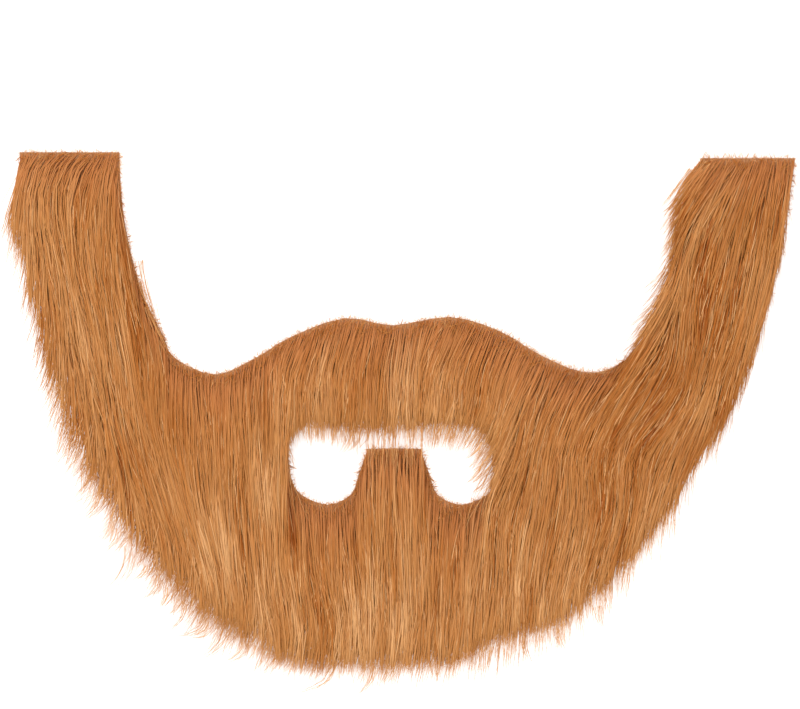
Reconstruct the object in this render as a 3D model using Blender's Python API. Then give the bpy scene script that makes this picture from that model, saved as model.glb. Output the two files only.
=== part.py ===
"""Fake beard of long combed pile on a knitted ground cloth, lying flat on its back.

Metres, +Z up. X runs across the face and Y up the face, from the chin to the sideburns.
The outlines are drawn round the face's midline and the top of the lip tab, and the
finished beard is then placed with its origin under the middle of its box.
"""
import math
import random

import bmesh
import bpy
import numpy as np
from mathutils import Vector
from mathutils.geometry import interpolate_bezier, intersect_point_line, tessellate_polygon

# Cloth outline
HALF_SPAN = 0.1382          # midline to a sideburn's outer cut edge
SIDEBURN_RISE = 0.1057      # lip tab's top up to the sideburns' tops
SIDEBURN_WIDTH = 0.0356
CHIN_DROP = 0.0587          # lip tab's top down to the chin's cut edge
CHEEK_RISE = 0.0265         # lip tab's top up to the cheek dips
MOUSTACHE_RISE = 0.0466     # lip tab's top up to the moustache's humps
DIP_SPAN = 0.1316           # between the cheek dips
MOUTH_WIDTH = 0.0744
MOUTH_SHIFT = -0.0021       # midline to the mouth's middle
MOUTH_RISE = 0.0186         # lip tab's top up to the mouth's upper cut edge
LOBE_DROP = 0.0199          # lip tab's top down to the bottom of the mouth's lobes
CLOTH_THICKNESS = 0.0015

# Pile
CLEARANCE = 0.0003          # between the cloth and the pile's own solid
PILE_INSET = 0.0008         # cut cloth left bare round the pile
ROOT_BED = 0.0030           # packed roots that the locks grow from
LOCK_RISE = 0.0046          # a lock's ridge above the packed roots
LOCK_LENGTH = 0.0280
LOCK_WIDTH = 0.0150         # across its flat underside
LOCK_STEP = 0.0105          # between neighbours in a row
ROW_STEP = 0.0135           # between rows
ROOT_MARGIN = 0.0026        # cut edge to the nearest lock's root
FRINGE_REACH = 0.0200       # free hair past the jaw's cut edge
MOUSTACHE_REACH = 0.0125    # free hair over the mouth
SIDE_REACH = 0.0045         # free hair past the other cut edges
SIDE_BULGE = 0.0015         # a lock's side past a cut edge that it runs along
FRINGE_DEPTH = 0.0012       # of a lock that has sunk to its furthest reach

CURVE_STEPS = 3
PATH_STEPS = 9
ROOT_SPACING = 0.75         # nearest roots, as a share of LOCK_STEP
EDGE_COMBING = 0.2          # least cosine between the combing and the way across an edge
ROOT_JITTER = 0.2           # share of a step by which a root strays
SPAN_SLACK = 1.05           # rows reach this share of HALF_SPAN
SHORTEST_LOCK = 0.35        # share of its length that a cut lock must keep
FLOW_SPREAD = 0.018         # how far a row of FLOW is felt

# Outer cut edge, from one sideburn's top round the chin to the other's.
# across: share of HALF_SPAN; height: share of SIDEBURN_RISE above 0, of CHIN_DROP below
JAW_LINE = [
    # across, height
    (-0.981, 1.000),
    (-0.971, 0.855),
    (-0.950, 0.703),
    (-0.917, 0.518),
    (-0.870, 0.333),
    (-0.819, 0.148),
    (-0.747, -0.067),
    (-0.657, -0.370),
    (-0.541, -0.624),
    (-0.399, -0.824),
    (-0.232, -0.952),
    (0.000, -1.000),
    (0.232, -0.940),
    (0.412, -0.794),
    (0.546, -0.582),
    (0.657, -0.309),
    (0.752, -0.036),
    (0.834, 0.148),
    (0.896, 0.316),
    (0.942, 0.485),
    (0.976, 0.653),
    (1.001, 0.821),
    (1.019, 0.980),
]

# Widths of the sideburns. height: share of SIDEBURN_RISE; widths: shares of SIDEBURN_WIDTH
SIDEBURNS = [
    # height, left, right
    (1.000, 1.000, 0.947),
    (0.855, 0.980, 0.975),
    (0.700, 0.963, 1.020),
    (0.520, 0.989, 1.067),
]

# Cut edge under the cheeks and over the lip.
# across: share of half DIP_SPAN; height: share of the way from CHEEK_RISE to MOUSTACHE_RISE
MOUSTACHE_EDGE = [
    # across, height
    (-1.285, 0.700),
    (-1.220, 0.290),
    (-1.000, 0.000),
    (-0.780, 0.300),
    (-0.595, 0.660),
    (-0.300, 1.000),
    (-0.040, 0.870),
    (0.270, 1.020),
    (0.540, 0.770),
    (0.757, 0.350),
    (0.990, 0.045),
    (1.170, 0.150),
    (1.320, 0.620),
]

# Right half of the mouth, from its upper edge round one lobe to the lip tab.
# across: share of half MOUTH_WIDTH; height: share of MOUTH_RISE above 0, of LOBE_DROP below
MOUTH_HALF = [
    # across, height
    (0.000, 1.000),
    (0.460, 0.960),
    (0.880, 0.860),
    (1.000, 0.260),
    (1.000, -0.400),
    (0.905, -0.800),
    (0.640, -1.000),
    (0.415, -0.820),
    (0.340, -0.460),
    (0.262, -0.060),
    (0.225, 0.000),
]

# How the pile is combed. lean: degrees from straight down, positive towards +X
# across: share of HALF_SPAN; height: share of SIDEBURN_RISE
FLOW = [
    # across, height, lean
    (-0.850, 0.940, 3),
    (-0.960, 0.670, 0),
    (-0.800, 0.670, 10),
    (-0.910, 0.330, 2),
    (-0.740, 0.330, 12),
    (-0.830, 0.060, 5),
    (-0.690, -0.060, 18),
    (-0.541, -0.310, 18),
    (-0.515, 0.100, 3),
    (-0.412, 0.000, 0),
    (-0.335, -0.475, 15),
    (-0.154, -0.370, 7),
    (0.000, -0.570, 8),
    (0.000, -0.300, 0),
    (0.080, -0.100, 0),
    (0.206, -0.240, -4),
    (0.386, -0.410, -10),
    (0.474, -0.390, -20),
    (0.438, 0.060, -27),
    (0.515, 0.165, -36),
    (0.618, 0.060, -42),
    (0.669, -0.100, -15),
    (0.772, 0.100, -23),
    (0.875, 0.940, -25),
    (0.747, 0.870, -38),
    (0.850, 0.670, -15),
    (0.747, 0.430, -4),
    (0.644, 0.270, -20),
    (-0.386, 0.270, 8),
    (-0.180, 0.370, -8),
    (0.000, 0.200, -2),
    (0.154, 0.370, -15),
    (0.309, 0.270, -30),
]

# One lock from root to tip. along: share of its length; width: share of LOCK_WIDTH
# rise: share of LOCK_RISE over the packed roots
LOCK_SECTIONS = [
    # along, width, rise
    (0.00, 0.60, 0.00),
    (0.30, 1.00, 0.65),
    (0.68, 0.80, 1.00),
    (1.00, 0.08, 0.45),
]

# How much one lock differs from the next
LEAN_SPREAD = (-6, 6)       # degrees
LENGTH_SPREAD = (0.85, 1.10)
WIDTH_SPREAD = (0.90, 1.15)
RISE_SPREAD = (0.75, 1.15)


def smooth_line(points, closed=False):
    """Points of a rounded curve through the given ones."""
    count = len(points)
    spans = count if closed else count - 1
    line = []
    for i in range(spans):
        before = points[i - 1] if closed or i > 0 else points[0]
        start, end = points[i], points[(i + 1) % count]
        after = points[(i + 2) % count] if closed or i + 2 < count else points[-1]
        out_handle = start + (end - before) / 6
        in_handle = end - (after - start) / 6
        line += interpolate_bezier(start, out_handle, in_handle, end, CURVE_STEPS + 1)[:-1]
    if not closed:
        line.append(points[-1])
    return [Vector(p[:2]) for p in line]


def jaw_line():
    points = []
    for across, height in JAW_LINE:
        reach = SIDEBURN_RISE if height > 0 else CHIN_DROP
        points.append(Vector((across * HALF_SPAN, height * reach)))
    return smooth_line(points)


def across_at(line, y, side):
    """Where one side of the jaw line passes a height."""
    half = [p for p in line if p.x * side > 0]
    for a, b in zip(half, half[1:]):
        if min(a.y, b.y) <= y <= max(a.y, b.y):
            return a.lerp(b, (y - a.y) / (b.y - a.y)).x
    return max(half, key=lambda p: p.y).x


def face_line(jaw):
    """The inner cut edge, from the right sideburn's top to the left one's."""
    left, right = [], []
    for height, left_width, right_width in SIDEBURNS:
        y = height * SIDEBURN_RISE
        left.append(Vector((across_at(jaw, y, -1) + left_width * SIDEBURN_WIDTH, y)))
        y = min(y, jaw[-1].y)
        right.append(Vector((across_at(jaw, y, 1) - right_width * SIDEBURN_WIDTH, y)))
    middle = []
    for across, height in MOUSTACHE_EDGE:
        y = CHEEK_RISE + height * (MOUSTACHE_RISE - CHEEK_RISE)
        middle.append(Vector((across * DIP_SPAN / 2, y)))
    return smooth_line(right + middle[::-1] + left[::-1])


def mouth_line():
    right = []
    for across, height in MOUTH_HALF:
        reach = MOUTH_RISE if height > 0 else LOBE_DROP
        right.append(Vector((across * MOUTH_WIDTH / 2, height * reach)))
    left = [Vector((-p.x, p.y)) for p in right[1:]]
    line = smooth_line(left + right[::-1], closed=True)
    return [p + Vector((MOUTH_SHIFT, 0)) for p in line]


def distance_to(line, point, closed=True):
    ends = line[1:] + line[:1] if closed else line[1:]
    gaps = []
    for a, b in zip(line, ends):
        _, share = intersect_point_line(point, a, b)
        gaps.append((point - a.lerp(b, min(max(share, 0), 1))).length)
    return min(gaps)


def is_inside(line, point):
    inside = False
    for a, b in zip(line, line[1:] + line[:1]):
        if (a.y > point.y) != (b.y > point.y):
            if point.x < a.x + (point.y - a.y) / (b.y - a.y) * (b.x - a.x):
                inside = not inside
    return inside


def grown(line, distance):
    """A closed line, counter-clockwise, moved outwards; a negative distance moves it in."""
    moved = []
    for before, here, after in zip(line[-1:] + line[:-1], line, line[1:] + line[:1]):
        one = (here - before).normalized()
        two = (after - here).normalized()
        out = Vector((one.y, -one.x)) + Vector((two.y, -two.x))
        moved.append(here + out * distance / (1 + one.dot(two)))
    return moved


def new_piece(name, form):
    """An object of its own from a bmesh, in flat triangles that a Boolean cuts cleanly."""
    bmesh.ops.triangulate(form, faces=form.faces)
    bmesh.ops.recalc_face_normals(form, faces=form.faces)
    mesh = bpy.data.meshes.new(name)
    form.to_mesh(mesh)
    form.free()
    piece = bpy.data.objects.new(name, mesh)
    bpy.context.scene.collection.objects.link(piece)
    return piece


def plate(name, outline, hole, low, high):
    """A flat plate with one hole."""
    loops = [outline, hole]
    triangles = tessellate_polygon([[p.to_3d() for p in loop] for loop in loops])
    flat = outline + hole
    form = bmesh.new()
    under = [form.verts.new((p.x, p.y, low)) for p in flat]
    over = [form.verts.new((p.x, p.y, high)) for p in flat]
    for triangle in triangles:
        form.faces.new([over[i] for i in triangle])
        form.faces.new([under[i] for i in reversed(triangle)])
    start = 0
    for loop in loops:
        for i in range(len(loop)):
            a, b = start + i, start + (i + 1) % len(loop)
            form.faces.new((under[a], under[b], over[b], over[a]))
        start += len(loop)
    return new_piece(name, form)


def combed(point):
    """Lean of the pile at a point, in radians."""
    total = weight = 0.0
    for across, height, lean in FLOW:
        place = Vector((across * HALF_SPAN, height * SIDEBURN_RISE))
        share = 1 / (FLOW_SPREAD ** 4 + (point - place).length ** 4)
        total += share * lean
        weight += share
    return math.radians(total / weight)


class Cloth:
    """The cut cloth's lines."""

    def __init__(self):
        self.jaw = jaw_line()
        self.outline = self.jaw + face_line(self.jaw)
        self.mouth = mouth_line()

    def covers(self, point):
        return is_inside(self.outline, point) and not is_inside(self.mouth, point)

    def margin(self, point):
        return min(distance_to(self.outline, point), distance_to(self.mouth, point))

    def reach(self, point):
        """How far hair may run free where it has left the cloth."""
        if is_inside(self.mouth, point):
            return MOUSTACHE_REACH
        past_jaw = distance_to(self.jaw, point, closed=False) <= distance_to(self.outline, point)
        return FRINGE_REACH if past_jaw else SIDE_REACH


def lock_path(cloth, root, length, turn):
    """Middle line of a lock, as points with the length that runs free of the cloth so far."""
    step = length / PATH_STEPS
    path = [(root, 0.0)]
    for _ in range(PATH_STEPS):
        here, free = path[-1]
        lean = combed(here) + turn
        ahead = here + Vector((math.sin(lean), -math.cos(lean))) * step
        free = 0.0 if cloth.covers(ahead) else free + step
        if free > cloth.reach(ahead):
            break
        path.append((ahead, free))
    return path


def along_path(path, share):
    """Place at a share of a path, and the free length so far."""
    place = share * (len(path) - 1)
    first = min(int(place), len(path) - 2)
    (start, start_free), (end, end_free) = path[first], path[first + 1]
    part = place - first
    free = start_free + (end_free - start_free) * part
    return start.lerp(end, part), free


def side_point(cloth, here, side, half):
    """A lock's side, drawn in where the lock runs along a cut edge."""
    runs_along_edge = cloth.covers(here - side * half) and not cloth.covers(here + side * half)
    if runs_along_edge:
        inner = cloth.margin(here) if cloth.covers(here) else 0
        half = min(half, inner + SIDE_BULGE)
    return here + side * half


def add_lock(form, cloth, path, low, width, rise):
    """One tapered lock with a flat underside and a ridge, sinking where it runs free."""
    forward = (path[-1][0] - path[0][0]).normalized()
    side = Vector((-forward.y, forward.x))
    rings = []
    for along, wide, high in LOCK_SECTIONS:
        here, free = along_path(path, along)
        left = side_point(cloth, here, side, wide * width / 2)
        right = side_point(cloth, here, -side, wide * width / 2)
        depth = ROOT_BED + high * rise
        depth += (FRINGE_DEPTH - depth) * min(free / FRINGE_REACH, 1)
        rings.append([form.verts.new((left.x, left.y, low)),
                      form.verts.new((right.x, right.y, low)),
                      form.verts.new((here.x, here.y, low + depth))])
    form.faces.new(rings[0][::-1])
    form.faces.new(rings[-1])
    for one, two in zip(rings, rings[1:]):
        for i in range(3):
            j = (i + 1) % 3
            form.faces.new((one[i], one[j], two[j], two[i]))


def edge_roots(cloth, line):
    """Roots just inside a cut edge, where the pile is combed in over it or out past it."""
    roots = []
    walked = 0.0
    for a, b in zip(line, line[1:] + line[:1]):
        run = (b - a).length
        while walked < run:
            place = a.lerp(b, walked / run)
            out = Vector((b.y - a.y, a.x - b.x)).normalized() * ROOT_MARGIN
            inner = place + out if cloth.covers(place + out) else place - out
            lean = combed(inner)
            across = Vector((math.sin(lean), -math.cos(lean))).dot(inner - place)
            if cloth.covers(inner) and abs(across) > EDGE_COMBING * ROOT_MARGIN:
                roots.append(inner)
            walked += LOCK_STEP
        walked -= run
    return roots


def lock_roots(cloth, chance):
    """Roots along the cut edges, then staggered rows over the rest."""
    roots = edge_roots(cloth, cloth.outline) + edge_roots(cloth, cloth.mouth)
    rows = math.ceil((SIDEBURN_RISE + CHIN_DROP) / ROW_STEP)
    seats = math.ceil(SPAN_SLACK * HALF_SPAN / LOCK_STEP)
    for row in range(rows + 1):
        for seat in range(-seats, seats + 1):
            x = (seat + 0.5 * (row % 2) + chance.uniform(-1, 1) * ROOT_JITTER) * LOCK_STEP
            y = SIDEBURN_RISE - (row + chance.uniform(-1, 1) * ROOT_JITTER) * ROW_STEP
            root = Vector((x, y))
            if not cloth.covers(root) or cloth.margin(root) < ROOT_MARGIN:
                continue
            if min((root - other).length for other in roots) > ROOT_SPACING * LOCK_STEP:
                roots.append(root)
    return roots


def lies_apart(path, others):
    """Whether a lock along a path would touch none of the locks along other paths."""
    points = np.array([tuple(point) for point, _ in path])
    for other in others:
        other_points = np.array([tuple(point) for point, _ in other])
        gaps = np.linalg.norm(points[:, None] - other_points[None], axis=2)
        if gaps.min() < LOCK_WIDTH * WIDTH_SPREAD[1]:
            return False
    return True


def pile_locks(cloth, low):
    """Every lock, as a few guide objects in each of which no two locks touch."""
    chance = random.Random(11)
    layers = []
    for root in lock_roots(cloth, chance):
        turn = math.radians(chance.uniform(*LEAN_SPREAD))
        length = LOCK_LENGTH * chance.uniform(*LENGTH_SPREAD)
        width = LOCK_WIDTH * chance.uniform(*WIDTH_SPREAD)
        rise = LOCK_RISE * chance.uniform(*RISE_SPREAD)
        path = lock_path(cloth, root, length, turn)
        if len(path) <= PATH_STEPS * SHORTEST_LOCK:
            continue
        for form, paths in layers:
            if lies_apart(path, paths):
                break
        else:
            form, paths = bmesh.new(), []
            layers.append((form, paths))
        add_lock(form, cloth, path, low, width, rise)
        paths.append(path)
    return [new_piece(f"locks_{i}", form) for i, (form, _) in enumerate(layers)]


def fuse(piece, guide):
    """Join a guide's solids to a piece, as one body.

    The exact solver leaves thrice the triangles where the undersides lie in one plane.
    """
    joining = piece.modifiers.new(guide.name, "BOOLEAN")
    joining.operation = "UNION"
    joining.solver = "MANIFOLD"
    joining.object = guide
    guide.hide_render = True
    guide.display_type = "WIRE"


def centre_under(pieces):
    """Hold pieces by an empty, with the world's origin under the middle of their box."""
    corners = [v.co for piece in pieces for v in piece.data.vertices]
    middle = bpy.data.objects.new("beard", None)
    bpy.context.scene.collection.objects.link(middle)
    for axis in (0, 1):
        ends = [corner[axis] for corner in corners]
        middle.location[axis] = -(min(ends) + max(ends)) / 2
    for piece in pieces:
        piece.parent = middle


def paint(piece, name, colour, roughness):
    material = bpy.data.materials.new(name)
    material.use_nodes = True
    surface = material.node_tree.nodes["Principled BSDF"]
    surface.inputs["Base Color"].default_value = (*colour, 1)
    surface.inputs["Roughness"].default_value = roughness
    piece.data.materials.append(material)


def main():
    for old in list(bpy.data.objects):
        bpy.data.objects.remove(old)
    cloth = Cloth()
    backing = plate("backing", cloth.outline, cloth.mouth, 0.0, CLOTH_THICKNESS)
    paint(backing, "knit", (0.42, 0.20, 0.09), 0.9)

    low = CLOTH_THICKNESS + CLEARANCE
    fur = plate("fur", grown(cloth.outline, -PILE_INSET), grown(cloth.mouth, PILE_INSET),
                low, low + ROOT_BED)
    paint(fur, "pile", (0.50, 0.22, 0.075), 0.6)
    locks = pile_locks(cloth, low)
    for layer in locks:
        fuse(fur, layer)
    centre_under([backing, fur] + locks)


main()
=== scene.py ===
"""The looks of a flat costume beard: a cut knitted ground cloth with a combed ginger pile.

Every size is in metres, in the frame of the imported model. Places on the beard are given as columns
and rows of the 800 by 709 photograph, which photo_place turns into metres from the cloth's own box.
"""

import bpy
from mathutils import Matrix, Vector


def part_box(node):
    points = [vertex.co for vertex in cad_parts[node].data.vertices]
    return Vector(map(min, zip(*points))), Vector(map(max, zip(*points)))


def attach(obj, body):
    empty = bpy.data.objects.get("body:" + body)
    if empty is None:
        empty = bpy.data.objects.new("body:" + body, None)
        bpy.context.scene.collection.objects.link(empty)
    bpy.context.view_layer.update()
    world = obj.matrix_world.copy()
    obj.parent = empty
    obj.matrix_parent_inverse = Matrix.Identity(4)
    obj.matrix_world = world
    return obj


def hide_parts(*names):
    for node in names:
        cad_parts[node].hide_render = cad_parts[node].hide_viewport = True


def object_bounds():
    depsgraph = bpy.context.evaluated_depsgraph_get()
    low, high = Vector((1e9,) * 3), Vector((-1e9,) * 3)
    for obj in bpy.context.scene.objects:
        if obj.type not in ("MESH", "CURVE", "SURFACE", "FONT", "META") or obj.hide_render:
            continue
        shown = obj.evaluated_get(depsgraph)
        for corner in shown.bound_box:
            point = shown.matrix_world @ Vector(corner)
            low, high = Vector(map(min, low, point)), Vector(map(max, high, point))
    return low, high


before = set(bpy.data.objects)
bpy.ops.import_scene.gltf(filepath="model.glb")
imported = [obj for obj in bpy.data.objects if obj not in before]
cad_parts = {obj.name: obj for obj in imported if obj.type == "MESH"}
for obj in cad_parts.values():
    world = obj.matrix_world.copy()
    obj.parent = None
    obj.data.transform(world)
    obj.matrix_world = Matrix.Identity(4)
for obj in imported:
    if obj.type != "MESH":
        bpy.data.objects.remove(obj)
cad_box = [list(corner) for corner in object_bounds()]

import math
from collections import namedtuple

import bpy
import numpy as np
from mathutils import Vector
from mathutils.bvhtree import BVHTree

MM = 0.001

# The photograph, and where the cloth's box lies in it.
PHOTO_WIDTH, PHOTO_HEIGHT = 800, 709
CLOTH_COLUMNS = (19.0, 795.8)
CLOTH_TOP_ROW = 151.9

# The pile, at its real size: its hairs, how deep they lie on each other where that is most, and the roots'
# distance from each other and from the cut.
HAIR_LENGTH = 37 * MM
HAIR_WIDTH = 0.34 * MM
PILE_DEPTH = 5.6 * MM
DEPTH_POWER = 0.6
ROOT_STEP = 0.88 * MM
ROOT_MARGIN = 0.2 * MM

# A hair puffs up at its root and lies flat from this share of its length.
ROOT_PUFF = 1.3 * MM
PUFF_SPEED = 9
FLAT_FROM = 0.22
RISE_POWER = 0.8

# Locks that the hair gathers in: how far they lean to either side, in degrees, and how much of it they keep.
LOCK_STEP = 5.0 * MM
LOCK_LEAN = 6
LOCK_PULL = 0.55

# Wispy hairs: their share of the pile, and how much thinner and longer than the others they are.
WISPY_SHARE = 0.24
WISPY_WIDTH = 0.48
WISPY_LENGTH = 1.1

# Where the hair may lie. Past the cloth's edge it sinks to a gap over the floor within a short slope, and hangs
# free after its run. No corner lies lower than the clearance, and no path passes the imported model's lower side
# by more than the room.
FLOOR_GAP = 0.35 * MM
FLOOR_CLEARANCE = 0.15 * MM
EDGE_SLOPE = 3 * MM
FREE_RUN = 6 * MM
BOX_ROOM = 13.4 * MM

# The short hair that shows along the edges where the long hair starts, in a band that thins out inwards.
FUZZ_STEP = 0.75 * MM
FUZZ_MARGIN = 0.05 * MM
FUZZ_BAND = 7 * MM
FUZZ_LENGTH = 6.5 * MM
FUZZ_WIDTH = 0.2 * MM
FUZZ_START = 0.3

# The finest hair along the cut itself.
RIM_STEP = 0.32 * MM
RIM_BAND = 0.8 * MM
RIM_LENGTH = 3.6 * MM
RIM_WIDTH = 0.13 * MM
RIM_START = 0.5

# Hair that lies loose: single long hairs on top, a finer and paler halo where the hair leaves the cloth, and
# the soft hair that fills the fringe from below. Each says how far apart its roots are, within what length
# it has to leave the cloth (0 is anywhere), its lean in degrees, its least and most overhang, its shortest
# length, how it lifts, its layer of the pile, its width and tone, and where in the finish it starts.
Loose = namedtuple("Loose", "seed step within lean least most shortest lift layer width tone start")
STRAYS = Loose(59, 2.6 * MM, 0, 5, 0.7, 2.0, 0.6, 0.9 * MM, 1.0, 0.24 * MM, 0.86, 0.0)
HALO = Loose(73, 1.6 * MM, 24 * MM, 10, 0.9, 2.3, 0.7, 0.4 * MM, 0.8, 0.14 * MM, 0.97, 0.4)
FILLING = Loose(83, 0.85 * MM, 10 * MM, 4, 0.85, 1.05, 0.92, 0.1 * MM, 0.45, 0.32 * MM, 0.6, 0.3)
LOOSE_MARGIN = 1 * MM

# The strands and clumps that the pile is combed into: their width, how far they run, how deep the gaps between
# them are, how far hair is pulled to their crests, and how near a crest is felt for. Last, how soon wisps turn.
STREAK_WIDTH = 2.6 * MM
STREAK_RUN = 24 * MM
STREAK_DEPTH = 0.45 * MM
STREAK_PULL = 0.75 * MM
STREAK_FEEL = 0.3 * MM
CLUMP_WIDTH = 4.6 * MM
CLUMP_RUN = 30 * MM
FLICK_RUN = 6 * MM

# The knit of the cloth: one loop.
LOOP_WIDTH = 1.3 * MM
LOOP_HEIGHT = 1.0 * MM

# The maps and the lines that the hair is laid by. Distances in a map are counted in its cells, and a table's
# rows count by a power of their nearness.
GRID_STEP = 0.5 * MM
FAR_CELLS = 400
NEAR_CELLS = 120
DEPTH_STEPS = 14
TRACE_STEP = 0.75 * MM
TRACE_LENGTH = HAIR_LENGTH * 1.2
FLOW_POWER = 4
AREA_POWER = 3
FLOW_SPREAD = 4 * MM
WAVE_CELLS = 96

# Where each set of random draws starts, so that every run lays the same hair.
STREAK_SEED, FINE_SEED, CLUMP_SEED = 3, 5, 9
ROOT_SEED, PILE_SEED, TURN_SEED, LOCK_SEED, LOCK_LIE_SEED = 11, 13, 17, 23, 29
SWIRL_SEED, PATCHY_SEED, BROAD_SEED = 41, 43, 45
FUZZ_SEED, FUZZ_ROOT_SEED, RIM_SEED, RIM_ROOT_SEED, FLICK_SEED = 47, 53, 67, 71, 79

# Tones, which pick a hair's colour, and the least and most of them.
MIDDLE_TONE = 0.56
FUZZ_TONE = 0.48
RIM_TONE = 0.92
FLICK_TONE = 0.9
TONE_LIMITS = (0.02, 0.98)
PILE_TONE_LIMITS = (0.02, 0.95)

# Colours of the hair by its tone, of its root and its tip, and of the knit.
# The hair's low tones also give the painted shade in the gaps, low in the pile and on the side away from the key
# lamp.
HAIR_COLOURS = [
    (0.0, (0.26, 0.055, 0.006)), (0.3, (0.39, 0.119, 0.019)), (0.6, (0.470, 0.181, 0.048)),
    (0.82, (0.54, 0.240, 0.080)), (1.0, (0.74, 0.410, 0.180)),
]
ROOT_COLOUR = (0.47, 0.170, 0.056)
TIP_COLOUR = (0.60, 0.28, 0.080)
# The knit's darker colour stands partly for painted shade between its loops.
KNIT_COLOURS = [(0.15, (0.27, 0.095, 0.028)), (0.9, (0.50, 0.225, 0.090))]

# The table top, the camera and the lamps. The photograph's scale holds a little above the table.
TABLE_WIDTH = 6.0
TABLE_DROP = 0.2 * MM
TABLE_GREY = 0.6
TABLE_GLOW = 0.6
CAMERA_HEIGHT = 1.8
SCALE_HEIGHT = 4 * MM
SENSOR_WIDTH = 36
CAMERA_CLIPS = (0.05, 20)
Lamp = namedtuple("Lamp", "name place size power")
LAMPS = [Lamp("key", (-0.7, 0.45, 1.2), 0.9, 9), Lamp("fill", (0.7, -0.3, 1.1), 0.9, 2)]
ROOM_LIGHT = 1.1

# Which way the hair lies: degrees from straight down the photograph, to the right of it.
Lie = namedtuple("Lie", "column row lean")
COMBED = [
    Lie(20, 160, -10), Lie(42, 158, -42), Lie(60, 158, -50), Lie(80, 158, -46), Lie(100, 158, -30),
    Lie(116, 160, -10), Lie(14, 185, -10), Lie(38, 180, -14), Lie(60, 178, -20), Lie(82, 180, -20),
    Lie(102, 182, -8), Lie(12, 225, -2), Lie(45, 200, 6), Lie(65, 205, 6), Lie(88, 203, -2),
    Lie(112, 205, 0), Lie(16, 265, 2), Lie(28, 245, 0), Lie(50, 245, 16), Lie(78, 245, 6), Lie(105, 250, 6),
    Lie(125, 260, 6), Lie(33, 290, -2), Lie(60, 300, 12), Lie(100, 295, 11), Lie(135, 300, 12),
    Lie(46, 335, -2), Lie(58, 370, -1), Lie(85, 360, 14), Lie(115, 340, 13), Lie(150, 350, 9),
    Lie(60, 400, -3), Lie(75, 450, -1), Lie(100, 500, 2), Lie(125, 545, 5), Lie(155, 585, 6),
    Lie(200, 625, 3), Lie(250, 650, -2), Lie(80, 405, 0), Lie(95, 405, 12), Lie(125, 400, 9),
    Lie(165, 395, 3), Lie(195, 400, 4), Lie(97, 440, 2), Lie(118, 480, 5), Lie(141, 520, 9),
    Lie(179, 565, 10), Lie(125, 450, 16), Lie(150, 450, 15), Lie(200, 450, 3), Lie(245, 430, 4),
    Lie(140, 485, 18), Lie(165, 500, 19), Lie(190, 510, 12), Lie(225, 490, 3), Lie(275, 480, 0),
    Lie(160, 525, 17), Lie(200, 550, 15), Lie(240, 545, 6), Lie(272, 545, 2), Lie(303, 530, 2),
    Lie(220, 592, 12), Lie(280, 615, 14), Lie(322, 600, 12), Lie(345, 560, 5), Lie(300, 655, -4),
    Lie(370, 640, 0), Lie(400, 600, 0), Lie(215, 365, -8), Lie(235, 400, 2), Lie(250, 350, -16),
    Lie(268, 380, 2), Lie(300, 350, -22), Lie(325, 345, -17), Lie(350, 340, -16), Lie(380, 345, -12),
    Lie(405, 340, -6), Lie(440, 340, -24), Lie(465, 345, -27), Lie(500, 350, -24), Lie(530, 370, -28),
    Lie(296, 400, 0), Lie(345, 390, 1), Lie(385, 395, 0), Lie(430, 390, -4), Lie(465, 395, -6),
    Lie(500, 400, -12), Lie(525, 405, -20), Lie(560, 400, -27), Lie(590, 390, -31), Lie(620, 380, -30),
    Lie(641, 370, -30), Lie(565, 431, -19), Lie(600, 445, -20), Lie(620, 420, -33), Lie(650, 429, -43),
    Lie(675, 410, -36), Lie(520, 440, -10), Lie(502, 425, -20), Lie(502, 455, -28), Lie(504, 482, -20),
    Lie(540, 480, -6), Lie(595, 478, 5), Lie(614, 482, 2), Lie(660, 482, -17), Lie(635, 490, -8),
    Lie(684, 425, -26), Lie(700, 435, -22), Lie(720, 400, -15), Lie(690, 375, -14), Lie(645, 345, -36),
    Lie(676, 345, -10), Lie(694, 325, 2), Lie(715, 320, -12), Lie(724, 345, -20), Lie(745, 340, -15),
    Lie(662, 305, -32), Lie(672, 270, -22), Lie(692, 285, -9), Lie(720, 290, -15), Lie(755, 290, -12),
    Lie(680, 245, -20), Lie(710, 245, -16), Lie(740, 250, -13), Lie(772, 240, -8), Lie(688, 205, -34),
    Lie(715, 200, -28), Lie(745, 200, -18), Lie(780, 200, -8), Lie(700, 165, -40), Lie(725, 165, -32),
    Lie(755, 165, -22), Lie(785, 165, -12), Lie(380, 460, 0), Lie(410, 460, -1), Lie(385, 520, 1),
    Lie(430, 520, -3), Lie(460, 530, -5), Lie(400, 560, 0), Lie(500, 560, -4), Lie(550, 560, -11),
    Lie(520, 595, -3), Lie(585, 560, -16), Lie(612, 545, -15), Lie(570, 600, -7), Lie(480, 630, -4),
    Lie(430, 650, -3), Lie(640, 520, -14),
]

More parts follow.
